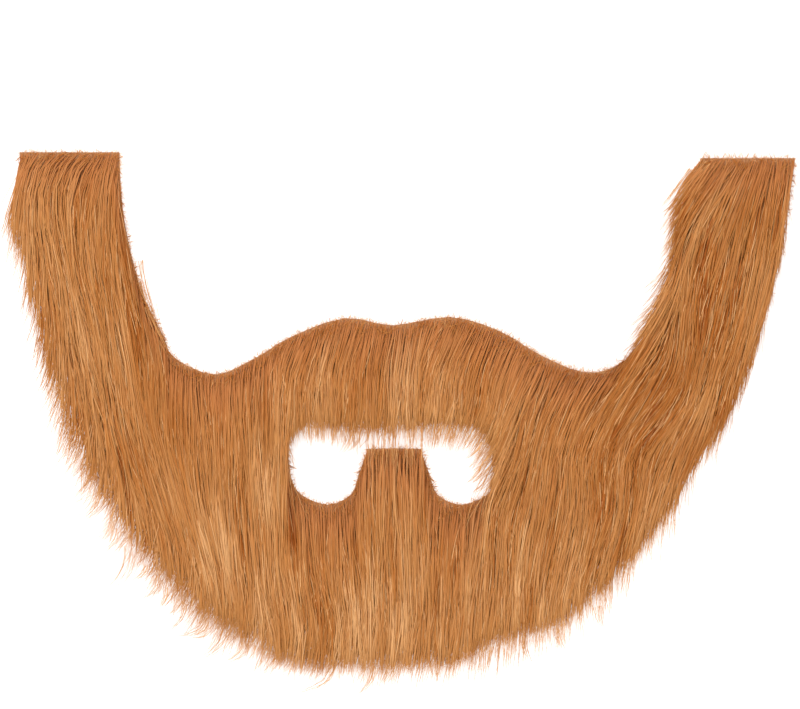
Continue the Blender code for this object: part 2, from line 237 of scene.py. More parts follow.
# How far the hair hangs over the cloth's edge: its dense part and its longest wisps, in millimetres, the
# degrees that the wisps turn by there, and how ragged the edge is.
Reach = namedtuple("Reach", "column row dense wisp flick ragged")
OVERHANG = [
    Reach(18, 200, 27, 34, -10, 0.3), Reach(40, 340, 26, 35, -16, 0.4), Reach(62, 420, 23, 35, -30, 0.9),
    Reach(100, 500, 19, 34, -55, 1.0), Reach(150, 565, 20, 34, -60, 1.0), Reach(220, 610, 22, 34, -50, 1.0),
    Reach(300, 640, 25.5, 36, -40, 1.0), Reach(400, 650, 20.5, 34, -20, 1.0),
    Reach(450, 650, 20.5, 34, -8, 1.0), Reach(505, 640, 14, 31, -2, 1.0), Reach(570, 605, 18, 31, 10, 1.0),
    Reach(650, 530, 17, 29, 10, 0.8), Reach(700, 460, 15, 24, 8, 0.6), Reach(745, 380, 13, 20, 6, 0.5),
    Reach(785, 250, 7, 11, 6, 0.3), Reach(690, 200, 17, 23, 0, 0.5), Reach(660, 300, 17, 23, -20, 0.5),
    Reach(130, 250, 7, 10, 4, 0.3), Reach(165, 350, 11, 15, 4, 0.4), Reach(300, 410, 9, 24, 8, 0.8),
    Reach(350, 410, 11, 24, -14, 0.8), Reach(382, 410, 14, 22, 0, 0.6), Reach(412, 410, 12, 20, 4, 0.6),
    Reach(445, 410, 9.5, 21, -8, 0.8), Reach(480, 410, 9.5, 24, -18, 0.8),
    Reach(495, 460, 6.5, 19, -20, 0.7), Reach(290, 460, 4, 8, 0, 0.3),
]

# Bundles of fine hairs that curve out of the fringe: where they leave it and where they end.
Flick = namedtuple("Flick", "column row to_column to_row")
FLICK_HAIRS = 7
FLICK_WIDTH = 0.17 * MM
FLICK_START = 0.45
FLICKS = [
    Flick(136, 262, 159, 325), Flick(142, 280, 169, 350), Flick(150, 305, 173, 362),
    Flick(66, 425, 51, 463), Flick(74, 440, 57, 480), Flick(86, 464, 81, 500), Flick(98, 486, 71, 524),
    Flick(112, 512, 97, 545), Flick(116, 528, 100, 552), Flick(129, 551, 89, 601),
    Flick(144, 562, 125, 583), Flick(160, 578, 139, 601), Flick(168, 588, 155, 612),
    Flick(184, 594, 163, 618), Flick(186, 604, 154, 637), Flick(205, 614, 169, 637),
    Flick(209, 624, 181, 637), Flick(226, 628, 190, 662), Flick(246, 642, 218, 664),
    Flick(251, 644, 243, 663), Flick(283, 644, 251, 680), Flick(333, 662, 283, 694),
    Flick(374, 666, 353, 699), Flick(393, 660, 379, 687), Flick(474, 426, 460, 452),
    Flick(480, 440, 462, 460), Flick(484, 452, 460, 474), Flick(488, 464, 464, 486),
    Flick(490, 478, 472, 493), Flick(690, 168, 664, 207), Flick(678, 192, 655, 216),
    Flick(680, 225, 656, 256), Flick(676, 240, 660, 262), Flick(705, 160, 676, 202),
    Flick(702, 169, 670, 217), Flick(308, 418, 311, 452), Flick(318, 420, 322, 446),
    Flick(352, 424, 328, 464), Flick(366, 425, 344, 455), Flick(335, 420, 330, 448),
    Flick(440, 425, 432, 455), Flick(452, 428, 446, 448), Flick(434, 658, 438, 684),
    Flick(488, 646, 484, 676), Flick(524, 636, 535, 668), Flick(560, 626, 571, 656),
    Flick(600, 606, 606, 632),
]

# How much the hair parts into strands, with painted shade in the gaps, and the painted shade on the side away
# from the key lamp.
Ruffle = namedtuple("Ruffle", "column row amount paler")
RUFFLES = [
    Ruffle(70, 180, 0.7, 0.0), Ruffle(60, 270, 1.1, 0.0), Ruffle(120, 300, 0.8, 0.0),
    Ruffle(110, 400, 0.9, 0.0), Ruffle(160, 500, 1.0, 0.0), Ruffle(250, 560, 0.9, 0.0),
    Ruffle(330, 560, 0.7, 0.0), Ruffle(400, 520, 0.8, 0.0), Ruffle(400, 600, 0.8, 0.0),
    Ruffle(500, 570, 0.9, 0.0), Ruffle(300, 370, 0.8, 0.0), Ruffle(400, 370, 0.9, 0.0),
    Ruffle(480, 370, 1.0, 0.0), Ruffle(560, 430, 1.3, -0.05), Ruffle(640, 430, 1.5, -0.15),
    Ruffle(690, 370, 1.6, -0.14), Ruffle(720, 280, 2.0, -0.02), Ruffle(735, 200, 2.2, 0.0),
    Ruffle(780, 200, 0.8, 0.0), Ruffle(775, 260, 0.8, 0.0), Ruffle(620, 520, 1.1, -0.08),
]

# The pieces that the pile is kept in: each holds the hair whose root is nearest to its places.
Patch = namedtuple("Patch", "name column row")
PATCHES = [
    Patch("sideburn_hair_left", 75, 220), Patch("sideburn_hair_left", 95, 320),
    Patch("jaw_hair_left", 120, 430), Patch("jaw_hair_left", 200, 420), Patch("jaw_hair_left", 180, 510),
    Patch("chin_hair_left", 260, 560), Patch("chin_hair_left", 330, 560), Patch("chin_hair_left", 250, 480),
    Patch("chin_hair_middle", 400, 480), Patch("chin_hair_middle", 410, 560),
    Patch("moustache_hair", 330, 360), Patch("moustache_hair", 470, 360), Patch("moustache_hair", 400, 360),
    Patch("moustache_hair", 270, 370), Patch("moustache_hair", 540, 380),
    Patch("chin_hair_right", 500, 560), Patch("chin_hair_right", 540, 480),
    Patch("chin_hair_right", 570, 540), Patch("jaw_hair_right", 600, 430),
    Patch("jaw_hair_right", 680, 420), Patch("jaw_hair_right", 640, 480),
    Patch("sideburn_hair_right", 735, 220), Patch("sideburn_hair_right", 710, 320),
]

# A hair's shape: its rings as shares of its length, and its width there. Its start says how far down the
# finish's root-to-tip colours it begins.
Hair = namedtuple("Hair", "centres sideways widths tones levels start")
LONG_LEVELS = (0.0, 0.16, 0.45, 0.78)
LOOSE_LEVELS = (0.0, 0.35, 0.7)
SHORT_LEVELS = (0.0, 0.5)
HAIR_TAPER = ((0.0, 0.2, 0.5, 0.8, 1.0), (1.25, 1.2, 1.0, 0.78, 0.3))
HAIR_SIDES = 3
HAIR_FLATNESS = 0.45

# How the finish is read: a hair's tone across the map, a little different round it, and its length up it.
TONE_ROUND = 0.004
MAP_LOW, MAP_HEIGHT = 0.02, 0.96


def empty_hands():
    """Nothing stays selected, so that an operator acts only on the new piece."""
    bpy.ops.object.select_all(action="DESELECT")


def photo_scale():
    """Metres to one column or row of the photograph, at the cloth."""
    low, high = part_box("backing")
    return (high.x - low.x) / (CLOTH_COLUMNS[1] - CLOTH_COLUMNS[0])


def photo_place(column, row):
    """The place on the beard, in metres, that a column and a row of the photograph show."""
    low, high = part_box("backing")
    scale = photo_scale()
    return low.x + (column - CLOTH_COLUMNS[0]) * scale, high.y - (row - CLOTH_TOP_ROW) * scale


def wavy(seed, across, along):
    """Smooth random waves from 0 to 1, one to each whole step across and along."""
    lattice = np.random.default_rng(seed).random((WAVE_CELLS, WAVE_CELLS))
    column, row = np.floor(across).astype(int), np.floor(along).astype(int)
    u, v = across - column, along - row
    u, v = u * u * (3 - 2 * u), v * v * (3 - 2 * v)
    column, row = column % WAVE_CELLS, row % WAVE_CELLS
    next_column, next_row = (column + 1) % WAVE_CELLS, (row + 1) % WAVE_CELLS
    left = lattice[column, row] * (1 - v) + lattice[column, next_row] * v
    right = lattice[next_column, row] * (1 - v) + lattice[next_column, next_row] * v
    return left * (1 - u) + right * u


class Ground:
    """Maps of the beard seen from above: where its cloth lies, how its hair lies and how deep the pile is."""

    def __init__(self):
        low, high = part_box("backing")
        room = HAIR_LENGTH * 1.5
        self.across = np.arange(low.x - room, high.x + room, GRID_STEP)
        self.up = np.arange(low.y - room, high.y + room, GRID_STEP)
        self.top = high.z
        self.cloth = self.cut()
        self.edge = self.edge_distance(self.cloth) - self.edge_distance(~self.cloth)
        self.lean = np.radians(self.blended(COMBED, "lean", FLOW_POWER))
        self.dense = self.blended(OVERHANG, "dense") * MM
        self.wisp = self.blended(OVERHANG, "wisp") * MM
        self.flick = np.radians(self.blended(OVERHANG, "flick"))
        self.ragged = self.blended(OVERHANG, "ragged")
        self.ruffle = self.blended(RUFFLES, "amount")
        # Painted shade on the side away from the key lamp, from the last column of the ruffle table.
        self.paler = self.blended(RUFFLES, "paler")
        self.inward_x, self.inward_y = np.gradient(self.edge, GRID_STEP)
        self.stream = self.streams()
        self.depth = self.pile_depth()
        self.under = self.resting_height()

    def cut(self):
        """True where the ground cloth is."""
        node = bpy.data.objects["backing"]
        corners = [vertex.co for vertex in node.data.vertices]
        tree = BVHTree.FromPolygons(corners, [face.vertices for face in node.data.polygons])
        down = Vector((0, 0, -1))
        hits = [
            [tree.ray_cast(Vector((x, y, 1.0)), down)[0] is not None for y in self.up] for x in self.across
        ]
        return np.array(hits)

    def edge_distance(self, inside):
        """Metres from each cell inside to the nearest one that isn't, and 0 elsewhere."""
        rows = np.where(inside, FAR_CELLS, 0)
        for i in range(1, len(rows)):
            rows[i] = np.minimum(rows[i], rows[i - 1] + 1)
        for i in range(len(rows) - 2, -1, -1):
            rows[i] = np.minimum(rows[i], rows[i + 1] + 1)
        squares = rows.astype(float) ** 2
        best = squares.copy()
        for shift in range(1, NEAR_CELLS):
            best[:, shift:] = np.minimum(best[:, shift:], squares[:, :-shift] + shift * shift)
            best[:, :-shift] = np.minimum(best[:, :-shift], squares[:, shift:] + shift * shift)
        return np.sqrt(best) * GRID_STEP

    def blended(self, table, value, power=AREA_POWER):
        """A smooth map of one value of a table, whose rows count by their nearness."""
        x, y = np.meshgrid(self.across, self.up, indexing="ij")
        total, weights = np.zeros_like(x), np.zeros_like(x)
        for entry in table:
            a, b = photo_place(entry.column, entry.row)
            weight = ((x - a) ** 2 + (y - b) ** 2 + FLOW_SPREAD**2) ** (-power / 2)
            total += weight * getattr(entry, value)
            weights += weight
        return total / weights

    def streams(self):
        """A number for each place, the same all along a line of the hair: where that line ends below."""
        stream = np.empty_like(self.lean)
        stream[:, 0] = self.across
        for j in range(1, len(self.up)):
            moved = self.across + np.tan(self.lean[:, j]) * GRID_STEP
            stream[:, j] = np.interp(moved, self.across, stream[:, j - 1])
            stream[:, j] += moved - np.clip(moved, self.across[0], self.across[-1])
        return stream

    def pile_depth(self):
        """How deep the pile is: it grows down from where the hair starts, as each hair lies on the next."""
        x, y = np.meshgrid(self.across, self.up, indexing="ij")
        share = np.zeros_like(x)
        for _ in range(DEPTH_STEPS):
            share += self.read(self.cloth, x, y)
            lean = self.read(self.lean, x, y)
            x = x - np.sin(lean) * HAIR_LENGTH / DEPTH_STEPS
            y = y + np.cos(lean) * HAIR_LENGTH / DEPTH_STEPS
        return PILE_DEPTH * (share / DEPTH_STEPS) ** DEPTH_POWER

    def resting_height(self):
        """What the lowest hair lies on: the cloth, and past its edge nearly the floor."""
        past = np.clip(-self.edge, 0, None)
        return FLOOR_GAP + (self.top - FLOOR_GAP) * np.exp(-past / EDGE_SLOPE)

    def read(self, chart, x, y):
        """A map's value at places between its cells."""
        i = np.clip((x - self.across[0]) / GRID_STEP, 0, len(self.across) - 1.001)
        j = np.clip((y - self.up[0]) / GRID_STEP, 0, len(self.up) - 1.001)
        left, low = i.astype(int), j.astype(int)
        u, v = i - left, j - low
        chart = np.asarray(chart, float) if chart.dtype == bool else chart
        return (
            chart[left, low] * (1 - u) * (1 - v)
            + chart[left + 1, low] * u * (1 - v)
            + chart[left, low + 1] * (1 - u) * v
            + chart[left + 1, low + 1] * u * v
        )

    def free(self, x, y):
        """From 0 on the cloth to 1 where the hair hangs well clear of it."""
        return np.clip(-self.read(self.edge, x, y) / FREE_RUN, 0, 1)


def scattered(ground, step, margin, seed):
    """Places spread evenly but not regularly over the cloth, a margin in from its edge."""
    random = np.random.default_rng(seed)
    x, y = np.meshgrid(
        np.arange(ground.across[0], ground.across[-1], step),
        np.arange(ground.up[0], ground.up[-1], step),
        indexing="ij",
    )
    x = x.ravel() + random.uniform(-0.5, 0.5, x.size) * step
    y = y.ravel() + random.uniform(-0.5, 0.5, y.size) * step
    kept = ground.read(ground.edge, x, y) > margin
    return x[kept], y[kept]


def nearest_of(x, y, from_x, from_y, batch=4000):
    """The number of the nearest of a few places to each of many, a batch of them at a time."""
    nearest = np.empty(len(x), int)
    for start in range(0, len(x), batch):
        part = slice(start, start + batch)
        gap = (x[part, None] - from_x[None]) ** 2 + (y[part, None] - from_y[None]) ** 2
        nearest[part] = gap.argmin(1)
    return nearest


def traced(ground, x, y, lean, flicked=0):
    """Lines that leave each root and follow the lie of the hair, as (roots, steps) arrays."""
    steps = int(TRACE_LENGTH / TRACE_STEP) + 1
    line_x, line_y = np.empty((len(x), steps)), np.empty((len(x), steps))
    for step in range(steps):
        line_x[:, step], line_y[:, step] = x, y
        turned = flicked * np.clip(-ground.read(ground.edge, x, y) / FLICK_RUN, 0, 1)
        heading = ground.read(ground.lean, x, y) + lean + turned * ground.read(ground.flick, x, y)
        x = x + np.sin(heading) * TRACE_STEP
        y = y - np.cos(heading) * TRACE_STEP
    return line_x, line_y


def free_lengths(ground, line_x, line_y, length, overhang):
    """Each hair's length, cut short where it has hung over the edge by its share of the overhang."""
    lowest = cad_box[0][1] - BOX_ROOM
    off_cloth = ground.read(ground.edge, line_x, line_y) < 0
    hung = np.zeros(len(line_x))
    kept = length.copy()
    open_end = np.ones(len(line_x), bool)
    for step in range(line_x.shape[1]):
        hung = np.where(off_cloth[:, step], hung + TRACE_STEP, 0)
        dense = ground.read(ground.dense, line_x[:, step], line_y[:, step])
        wisp = ground.read(ground.wisp, line_x[:, step], line_y[:, step])
        limit = dense * np.minimum(overhang, 1) + (wisp - dense) * np.clip(overhang - 1, 0, None)
        ended = open_end & ((hung > limit) | (line_y[:, step] < lowest))
        kept[ended] = np.minimum(kept[ended], (step + 1) * TRACE_STEP)
        open_end &= ~ended
    return kept


def along(line, length):
    """The line's places at a length from its root."""
    place = np.clip(length / TRACE_STEP, 0, line.shape[1] - 1.001)
    step = place.astype(int)
    share = place - step
    rows = np.arange(len(line))
    return line[rows, step] * (1 - share) + line[rows, step + 1] * share


def streaks(ground, x, y):
    """From 0 in the gaps to 1 on the crests of the strands that the hair gathers in."""
    stream = ground.read(ground.stream, x, y)
    broad = wavy(STREAK_SEED, stream / STREAK_WIDTH, y / STREAK_RUN)
    fine = wavy(FINE_SEED, stream / (0.45 * STREAK_WIDTH) + 20, y / (0.6 * STREAK_RUN))
    clump = wavy(CLUMP_SEED, stream / CLUMP_WIDTH + 40, y / CLUMP_RUN + 40)
    tousled = 0.8 * np.clip(ground.read(ground.ruffle, x, y) - 1, 0, 1)
    return (1 - tousled) * (0.62 * broad + 0.38 * fine) + tousled * clump


def nearer_crest(ground, x, y, side):
    """From -1 to 1, the side of each place on which the nearer strand's crest lies."""
    feel_x, feel_y = STREAK_FEEL * side[:, 0], STREAK_FEEL * side[:, 1]
    slope = streaks(ground, x + feel_x, y + feel_y) - streaks(ground, x - feel_x, y - feel_y)
    return np.tanh(slope * 8)


def patchy(x, y):
    """From 0 to 1, how pale the hair is by patches a few millimetres wide."""
    return wavy(PATCHY_SEED, x / (6 * MM) + 30, y / (14 * MM) + 30)


def heading_side(ground, x, y, lean):
    """The direction across the hair's lie at each place."""
    heading = ground.read(ground.lean, x, y) + lean
    return np.stack([np.cos(heading), np.sin(heading)], axis=1)


def blank_rings(hairs, levels):
    """Room for the middle of each hair's rings and its tip, and for the direction across the hair there."""
    return np.empty((hairs, len(levels) + 1, 3)), np.empty((hairs, len(levels) + 1, 2))


Locks = namedtuple("Locks", "lean length overhang line_x line_y")


def locks_of(ground, x, y):
    """The lean, length, overhang and line of the lock that each root belongs to."""
    lock_x, lock_y = scattered(ground, LOCK_STEP, -1 * MM, LOCK_SEED)
    random = np.random.default_rng(LOCK_LIE_SEED)
    lean = LOCK_PULL * np.radians(random.uniform(-LOCK_LEAN, LOCK_LEAN, len(lock_x)))
    length = random.uniform(0.85, 1.05, len(lock_x))
    overhang = random.uniform(0.78, 1.12, len(lock_x))
    own = nearest_of(x, y, lock_x, lock_y)
    return Locks(*(part[own] for part in (lean, length, overhang, *traced(ground, lock_x, lock_y, lean))))


def pile_height(ground, x, y, share, layer, puff, ripple):
    """How high a hair lies at a share of its length, by its layer of the pile, its puff and its ripple."""
    rise = min(share / FLAT_FROM, 1) ** RISE_POWER * layer
    depth = ground.read(ground.depth, x, y)
    height = ground.read(ground.under, x, y) + depth * rise
    puffed = ROOT_PUFF * puff * (1 - math.exp(-share * PUFF_SPEED))
    height += puffed * np.clip(depth / PILE_DEPTH + 0.3, 0, 1)
    return height + ripple * rise


def pile_tones_with_painted_shade(ground, random, root_x, root_y, centres, wispy, layer):
    """Long hair's tones: uneven, paler hanging free; painted shade in gaps and low layers, painted highlight on
    crests.
    """
    x, y = centres[:, 2, 0], centres[:, 2, 1]
    crest = streaks(ground, x, y)
    # Painted shade in the gaps between strands, the more where the hair is ruffled.
    gap = np.clip(0.38 - crest, 0, 0.3) / 0.3 * ground.read(ground.ruffle, x, y)
    broad = wavy(BROAD_SEED, x / (14 * MM) + 30, y / (22 * MM) + 30)
    settled = np.clip(1.6 * ground.read(ground.depth, root_x, root_y) / PILE_DEPTH, 0.35, 1)
    # Painted shade and painted highlight: darker in the gaps, lighter on the crests, by how settled the pile is
    # at the root.
    tones = MIDDLE_TONE + settled * (0.5 * (crest - 0.5) - 0.42 * gap)
    tones += 0.25 * (patchy(x, y) - 0.5) + 0.25 * (broad - 0.5)
    # The side away from the key lamp gets painted shade from the ruffle table.
    tones += random.normal(0, 0.085, len(x)) + ground.read(ground.paler, x, y)
    # Painted shade: hair lower in the pile is darker.
    tones += np.where(wispy, 0.1, 0.5 * (layer - 0.84))
    tones += np.where(wispy, 0.3, 0.1) * ground.free(centres[:, -1, 0], centres[:, -1, 1])
    return np.clip(tones, *PILE_TONE_LIMITS)


def long_hair(ground):
    """The pile itself: hair that leaves the cloth, rises, lies over flat and gathers in locks at its tips."""
    random = np.random.default_rng(PILE_SEED)
    x, y = scattered(ground, ROOT_STEP, ROOT_MARGIN, ROOT_SEED)
    hairs = len(x)
    lock = locks_of(ground, x, y)
    wispy = random.random(hairs) < WISPY_SHARE
    lean = lock.lean + np.radians(random.normal(0, 1.4, hairs))
    lean += np.radians(9) * (wavy(SWIRL_SEED, x / (9 * MM) + 50, y / (13 * MM) + 50) - 0.5)
    ragged = ground.read(ground.ragged, x, y)
    overhang = (1 + ragged * (lock.overhang - 1)) * random.uniform(0.84, 1.04, hairs)
    overhang = np.where(wispy, random.uniform(1.0, 2.0, hairs), overhang)
    flicked = np.where(wispy, random.uniform(0.4, 1.1, hairs), random.uniform(0, 0.4, hairs))
    line_x, line_y = traced(ground, x, y, lean, flicked)
    length = HAIR_LENGTH * lock.length * random.uniform(0.8, 1.05, hairs)
    length = free_lengths(ground, line_x, line_y, np.where(wispy, length * WISPY_LENGTH, length), overhang)
    layer = np.where(wispy, random.uniform(0.15, 0.7, hairs), random.uniform(0.68, 1.0, hairs))
    puff = random.uniform(0.4, 1.0, hairs)
    sway = random.normal(0, 0.25 * MM, (hairs, 2))
    centres, sideways = blank_rings(hairs, LONG_LEVELS)
    for ring, share in enumerate((*LONG_LEVELS, 1.0)):
        at_x, at_y = along(line_x, length * share), along(line_y, length * share)
        side = heading_side(ground, at_x, at_y, lean)
        ruffle = ground.read(ground.ruffle, at_x, at_y)
        ripple = STREAK_DEPTH * ruffle * (streaks(ground, at_x, at_y) - 0.5)
        shift = STREAK_PULL * ruffle * min(share / 0.4, 1) * nearer_crest(ground, at_x, at_y, side)
        shift += sway[:, 0] * share + sway[:, 1] * share * share
        apart = (along(lock.line_x, length * share) - at_x) * side[:, 0]
        apart += (along(lock.line_y, length * share) - at_y) * side[:, 1]
        gather = np.where(wispy, 0.2, 0.35 + 0.3 * ground.free(at_x, at_y)) * (0.4 + 0.6 * ragged)
        shift += gather * share**2 * np.clip(apart, -3 * MM, 3 * MM)
        at_x, at_y = at_x + side[:, 0] * shift, at_y + side[:, 1] * shift
        height = pile_height(ground, at_x, at_y, share, layer, puff, ripple)
        centres[:, ring] = np.stack([at_x, at_y, height], axis=1)
        sideways[:, ring] = side
    widths = HAIR_WIDTH * random.uniform(0.75, 1.25, hairs) * np.where(wispy, WISPY_WIDTH, 1)
    tones = pile_tones_with_painted_shade(ground, random, x, y, centres, wispy, layer)
    return Hair(centres, sideways, widths, tones, LONG_LEVELS, 0.0)


def short_rings(x, y, heading, curl, length, height_at):
    """The rings of short hairs, which leave their roots with a heading and curl as they go."""
    centres, sideways = blank_rings(len(x), SHORT_LEVELS)
    for ring, share in enumerate((*SHORT_LEVELS, 1.0)):
        turned = heading + curl * share
        at_x = x + np.sin(turned) * length * share
        at_y = y - np.cos(turned) * length * share
        centres[:, ring] = np.stack([at_x, at_y, height_at(at_x, at_y, share)], axis=1)
        sideways[:, ring] = np.stack([np.cos(turned), np.sin(turned)], axis=1)
    return centres, sideways


def edge_fuzz(ground):
    """Short soft hair near the cut edges, the outermost of it standing a little over them."""
    random = np.random.default_rng(FUZZ_SEED)
    x, y = scattered(ground, FUZZ_STEP, FUZZ_MARGIN, FUZZ_ROOT_SEED)
    inward = ground.read(ground.edge, x, y)
    kept = random.random(len(x)) < np.exp(-inward / (0.45 * FUZZ_BAND))
    x, y, inward = x[kept], y[kept], inward[kept]
    hairs = len(x)
    near = np.exp(-inward / (1.2 * MM))
    lean = np.radians(random.normal(0, 1, hairs) * (16 + 50 * near))
    curl = np.radians(random.normal(0, 22, hairs))
    length = FUZZ_LENGTH * random.uniform(0.35, 1.0, hairs) * (1 - 0.5 * near)
    stand = random.uniform(0.5, 1.0, hairs)

    def height_at(at_x, at_y, share):
        standing = (0.25 * MM + 0.5 * length * stand) * math.sin(2.4 * share)
        return ground.read(ground.under, at_x, at_y) + standing

    centres, sideways = short_rings(x, y, ground.read(ground.lean, x, y) + lean, curl, length, height_at)
    widths = FUZZ_WIDTH * random.uniform(0.7, 1.3, hairs)
    tones = np.clip(random.normal(FUZZ_TONE, 0.15, hairs) + 0.4 * (patchy(x, y) - 0.5), *TONE_LIMITS)
    return Hair(centres, sideways, widths, tones, SHORT_LEVELS, FUZZ_START)


def rim_fuzz(ground):
    """The finest hair, which stands out every way along the cut edges."""
    random = np.random.default_rng(RIM_SEED)
    x, y = scattered(ground, RIM_STEP, 0.0, RIM_ROOT_SEED)
    kept = ground.read(ground.edge, x, y) < RIM_BAND
    x, y = x[kept], y[kept]
    hairs = len(x)
    heading = np.arctan2(-ground.read(ground.inward_x, x, y), ground.read(ground.inward_y, x, y))
    heading += np.radians(random.normal(0, 60, hairs))
    curl = np.radians(random.normal(0, 45, hairs))
    length = RIM_LENGTH * random.uniform(0.3, 1.0, hairs) ** 1.3
    length *= 0.6 + 0.4 * ground.read(ground.ruffle, x, y)
    stand = random.uniform(0.0, 0.7, hairs)
    root_height = random.uniform(0.5, 1.0, hairs) * ground.top

    def height_at(at_x, at_y, share):
        return root_height + (0.3 * MM + length * stand) * share

    centres, sideways = short_rings(x, y, heading, curl, length, height_at)
    widths = RIM_WIDTH * random.uniform(0.7, 1.3, hairs)
    tones = np.clip(random.normal(RIM_TONE, 0.15, hairs), *TONE_LIMITS)
    return Hair(centres, sideways, widths, tones, SHORT_LEVELS, RIM_START)


def loose_hair(ground, kind):
    """Single long hairs which cross the lie of the pile a little, anywhere or where they leave the cloth."""
    random = np.random.default_rng(kind.seed)
    x, y = scattered(ground, kind.step, LOOSE_MARGIN, kind.seed + 2)
    lean = np.radians(kind.lean * np.clip(random.normal(0, 1, len(x)), -2, 2))
    overhang = random.uniform(kind.least, kind.most, len(x))
    line_x, line_y = traced(ground, x, y, lean, random.uniform(0, 1.0, len(x)))
    if kind.within:
        leaving = slice(0, int(kind.within / TRACE_STEP))
        leaves = (ground.read(ground.edge, line_x[:, leaving], line_y[:, leaving]) < 0).any(axis=1)
        lean, overhang, line_x, line_y = lean[leaves], overhang[leaves], line_x[leaves], line_y[leaves]
    hairs = len(lean)
    length = HAIR_LENGTH * random.uniform(kind.shortest, 1.18, hairs)
    length = free_lengths(ground, line_x, line_y, length, overhang)
    sway = random.normal(0, 0.6 * MM, (hairs, 2))
    lift = random.uniform(0.0, 1.0, hairs) * kind.lift
    centres, sideways = blank_rings(hairs, LOOSE_LEVELS)
    for ring, share in enumerate((*LOOSE_LEVELS, 1.0)):
        at_x, at_y = along(line_x, length * share), along(line_y, length * share)
        side = heading_side(ground, at_x, at_y, lean)
        shift = sway[:, 0] * math.sin(3 * share) + sway[:, 1] * share * share
        at_x, at_y = at_x + side[:, 0] * shift, at_y + side[:, 1] * shift
        depth = ground.read(ground.depth, at_x, at_y)
        height = ground.read(ground.under, at_x, at_y) + kind.layer * depth * min(share / 0.3, 1)
        height += lift * math.sin(3 * share) * np.clip(depth / PILE_DEPTH + 0.2, 0, 1)
        centres[:, ring] = np.stack([at_x, at_y, height], axis=1)
        sideways[:, ring] = side
    widths = kind.width * random.uniform(0.8, 1.3, hairs)
    tones = np.clip(random.normal(kind.tone, 0.12, hairs), *TONE_LIMITS)
    return Hair(centres, sideways, widths, tones, LOOSE_LEVELS, kind.start)


def flick_hair(ground):
    """The bundles that curve out of the fringe, each hair on its own curve to near the bundle's point."""
    random = np.random.default_rng(FLICK_SEED)
    ends = [(*photo_place(f.column, f.row), *photo_place(f.to_column, f.to_row)) for f in FLICKS]
    start_x, start_y, tip_x, tip_y = np.array(ends).repeat(FLICK_HAIRS, axis=0).T
    hairs = len(start_x)
    reach = np.hypot(tip_x - start_x, tip_y - start_y)
    side_x, side_y = (start_y - tip_y) / reach, (tip_x - start_x) / reach
    heading = ground.read(ground.lean, start_x, start_y) + np.radians(random.normal(0, 5, hairs))
    bend_x, bend_y = start_x + 0.5 * reach * np.sin(heading), start_y - 0.5 * reach * np.cos(heading)
    spread = random.uniform(-1, 1, hairs)
    short = random.uniform(0.65, 1.0, hairs)
    centres, sideways = blank_rings(hairs, LONG_LEVELS)
    for ring, share in enumerate((*LONG_LEVELS, 1.0)):
        t = short * share
        apart = spread * MM * (2.4 - 2.0 * t)
        at_x = (1 - t) ** 2 * start_x + 2 * t * (1 - t) * bend_x + t * t * tip_x + side_x * apart
        at_y = (1 - t) ** 2 * start_y + 2 * t * (1 - t) * bend_y + t * t * tip_y + side_y * apart
        height = ground.read(ground.under, at_x, at_y) + 0.9 * ground.read(ground.depth, at_x, at_y)
        centres[:, ring] = np.stack([at_x, at_y, height], axis=1)
        sideways[:, ring] = np.stack([side_x, side_y], axis=1)
    widths = FLICK_WIDTH * random.uniform(0.8, 1.3, hairs)
    tones = np.clip(random.normal(FLICK_TONE, 0.1, hairs), *TONE_LIMITS)
    return Hair(centres, sideways, widths, tones, LONG_LEVELS, FLICK_START)


def hair_faces(rings):
    """The triangles of one closed hair, by the numbers of its corners: a cap, the walls and the point."""
    faces = [(2, 1, 0)]
    for ring in range(rings - 1):
        for side in range(HAIR_SIDES):
            a, b = ring * HAIR_SIDES + side, ring * HAIR_SIDES + (side + 1) % HAIR_SIDES
            faces += [(a, b, b + HAIR_SIDES), (a, b + HAIR_SIDES, a + HAIR_SIDES)]
    last = (rings - 1) * HAIR_SIDES
    faces += [(last + side, last + (side + 1) % HAIR_SIDES, last + HAIR_SIDES) for side in range(HAIR_SIDES)]
    return faces


def strands(hair):
    """Closed three-sided hairs that taper to a point: arrays of corners, faces and places in the finish."""
    hairs, rings = len(hair.widths), len(hair.levels)
    turn = np.random.default_rng(TURN_SEED).uniform(0, 2 * math.pi, hairs)
    corners = np.empty((hairs, rings * HAIR_SIDES + 1, 3))
    for ring in range(rings):
        for side in range(HAIR_SIDES):
            angle = turn + side * 2 * math.pi / HAIR_SIDES
            half = hair.widths * np.interp(hair.levels[ring], *HAIR_TAPER) / 2
            aside = hair.sideways[:, ring] * (np.cos(angle) * half)[:, None]
            corner = corners[:, ring * HAIR_SIDES + side]
            corner[:, :2] = hair.centres[:, ring, :2] + aside
            corner[:, 2] = hair.centres[:, ring, 2] + np.sin(angle) * half * HAIR_FLATNESS
    corners[:, -1] = hair.centres[:, rings]
    corners[:, :, 2] = np.maximum(corners[:, :, 2], FLOOR_CLEARANCE)
    spots = corners.shape[1]
    faces = (np.array(hair_faces(rings))[None] + (np.arange(hairs) * spots)[:, None, None]).reshape(-1)
    root_to_tip = [level for level in hair.levels for _ in range(HAIR_SIDES)] + [1.0]
    round_it = [side / HAIR_SIDES - 0.5 for _ in hair.levels for side in range(HAIR_SIDES)] + [0.0]
    tone_and_painted_shade = (hair.tones[:, None] + np.array(round_it)[None] * TONE_ROUND).reshape(-1)
    lengthwise = hair.start + (1 - hair.start) * np.array(root_to_tip)
    places = np.stack([tone_and_painted_shade, np.tile(MAP_LOW + MAP_HEIGHT * lengthwise, hairs)], axis=1)
    return corners.reshape(-1, 3), faces, places


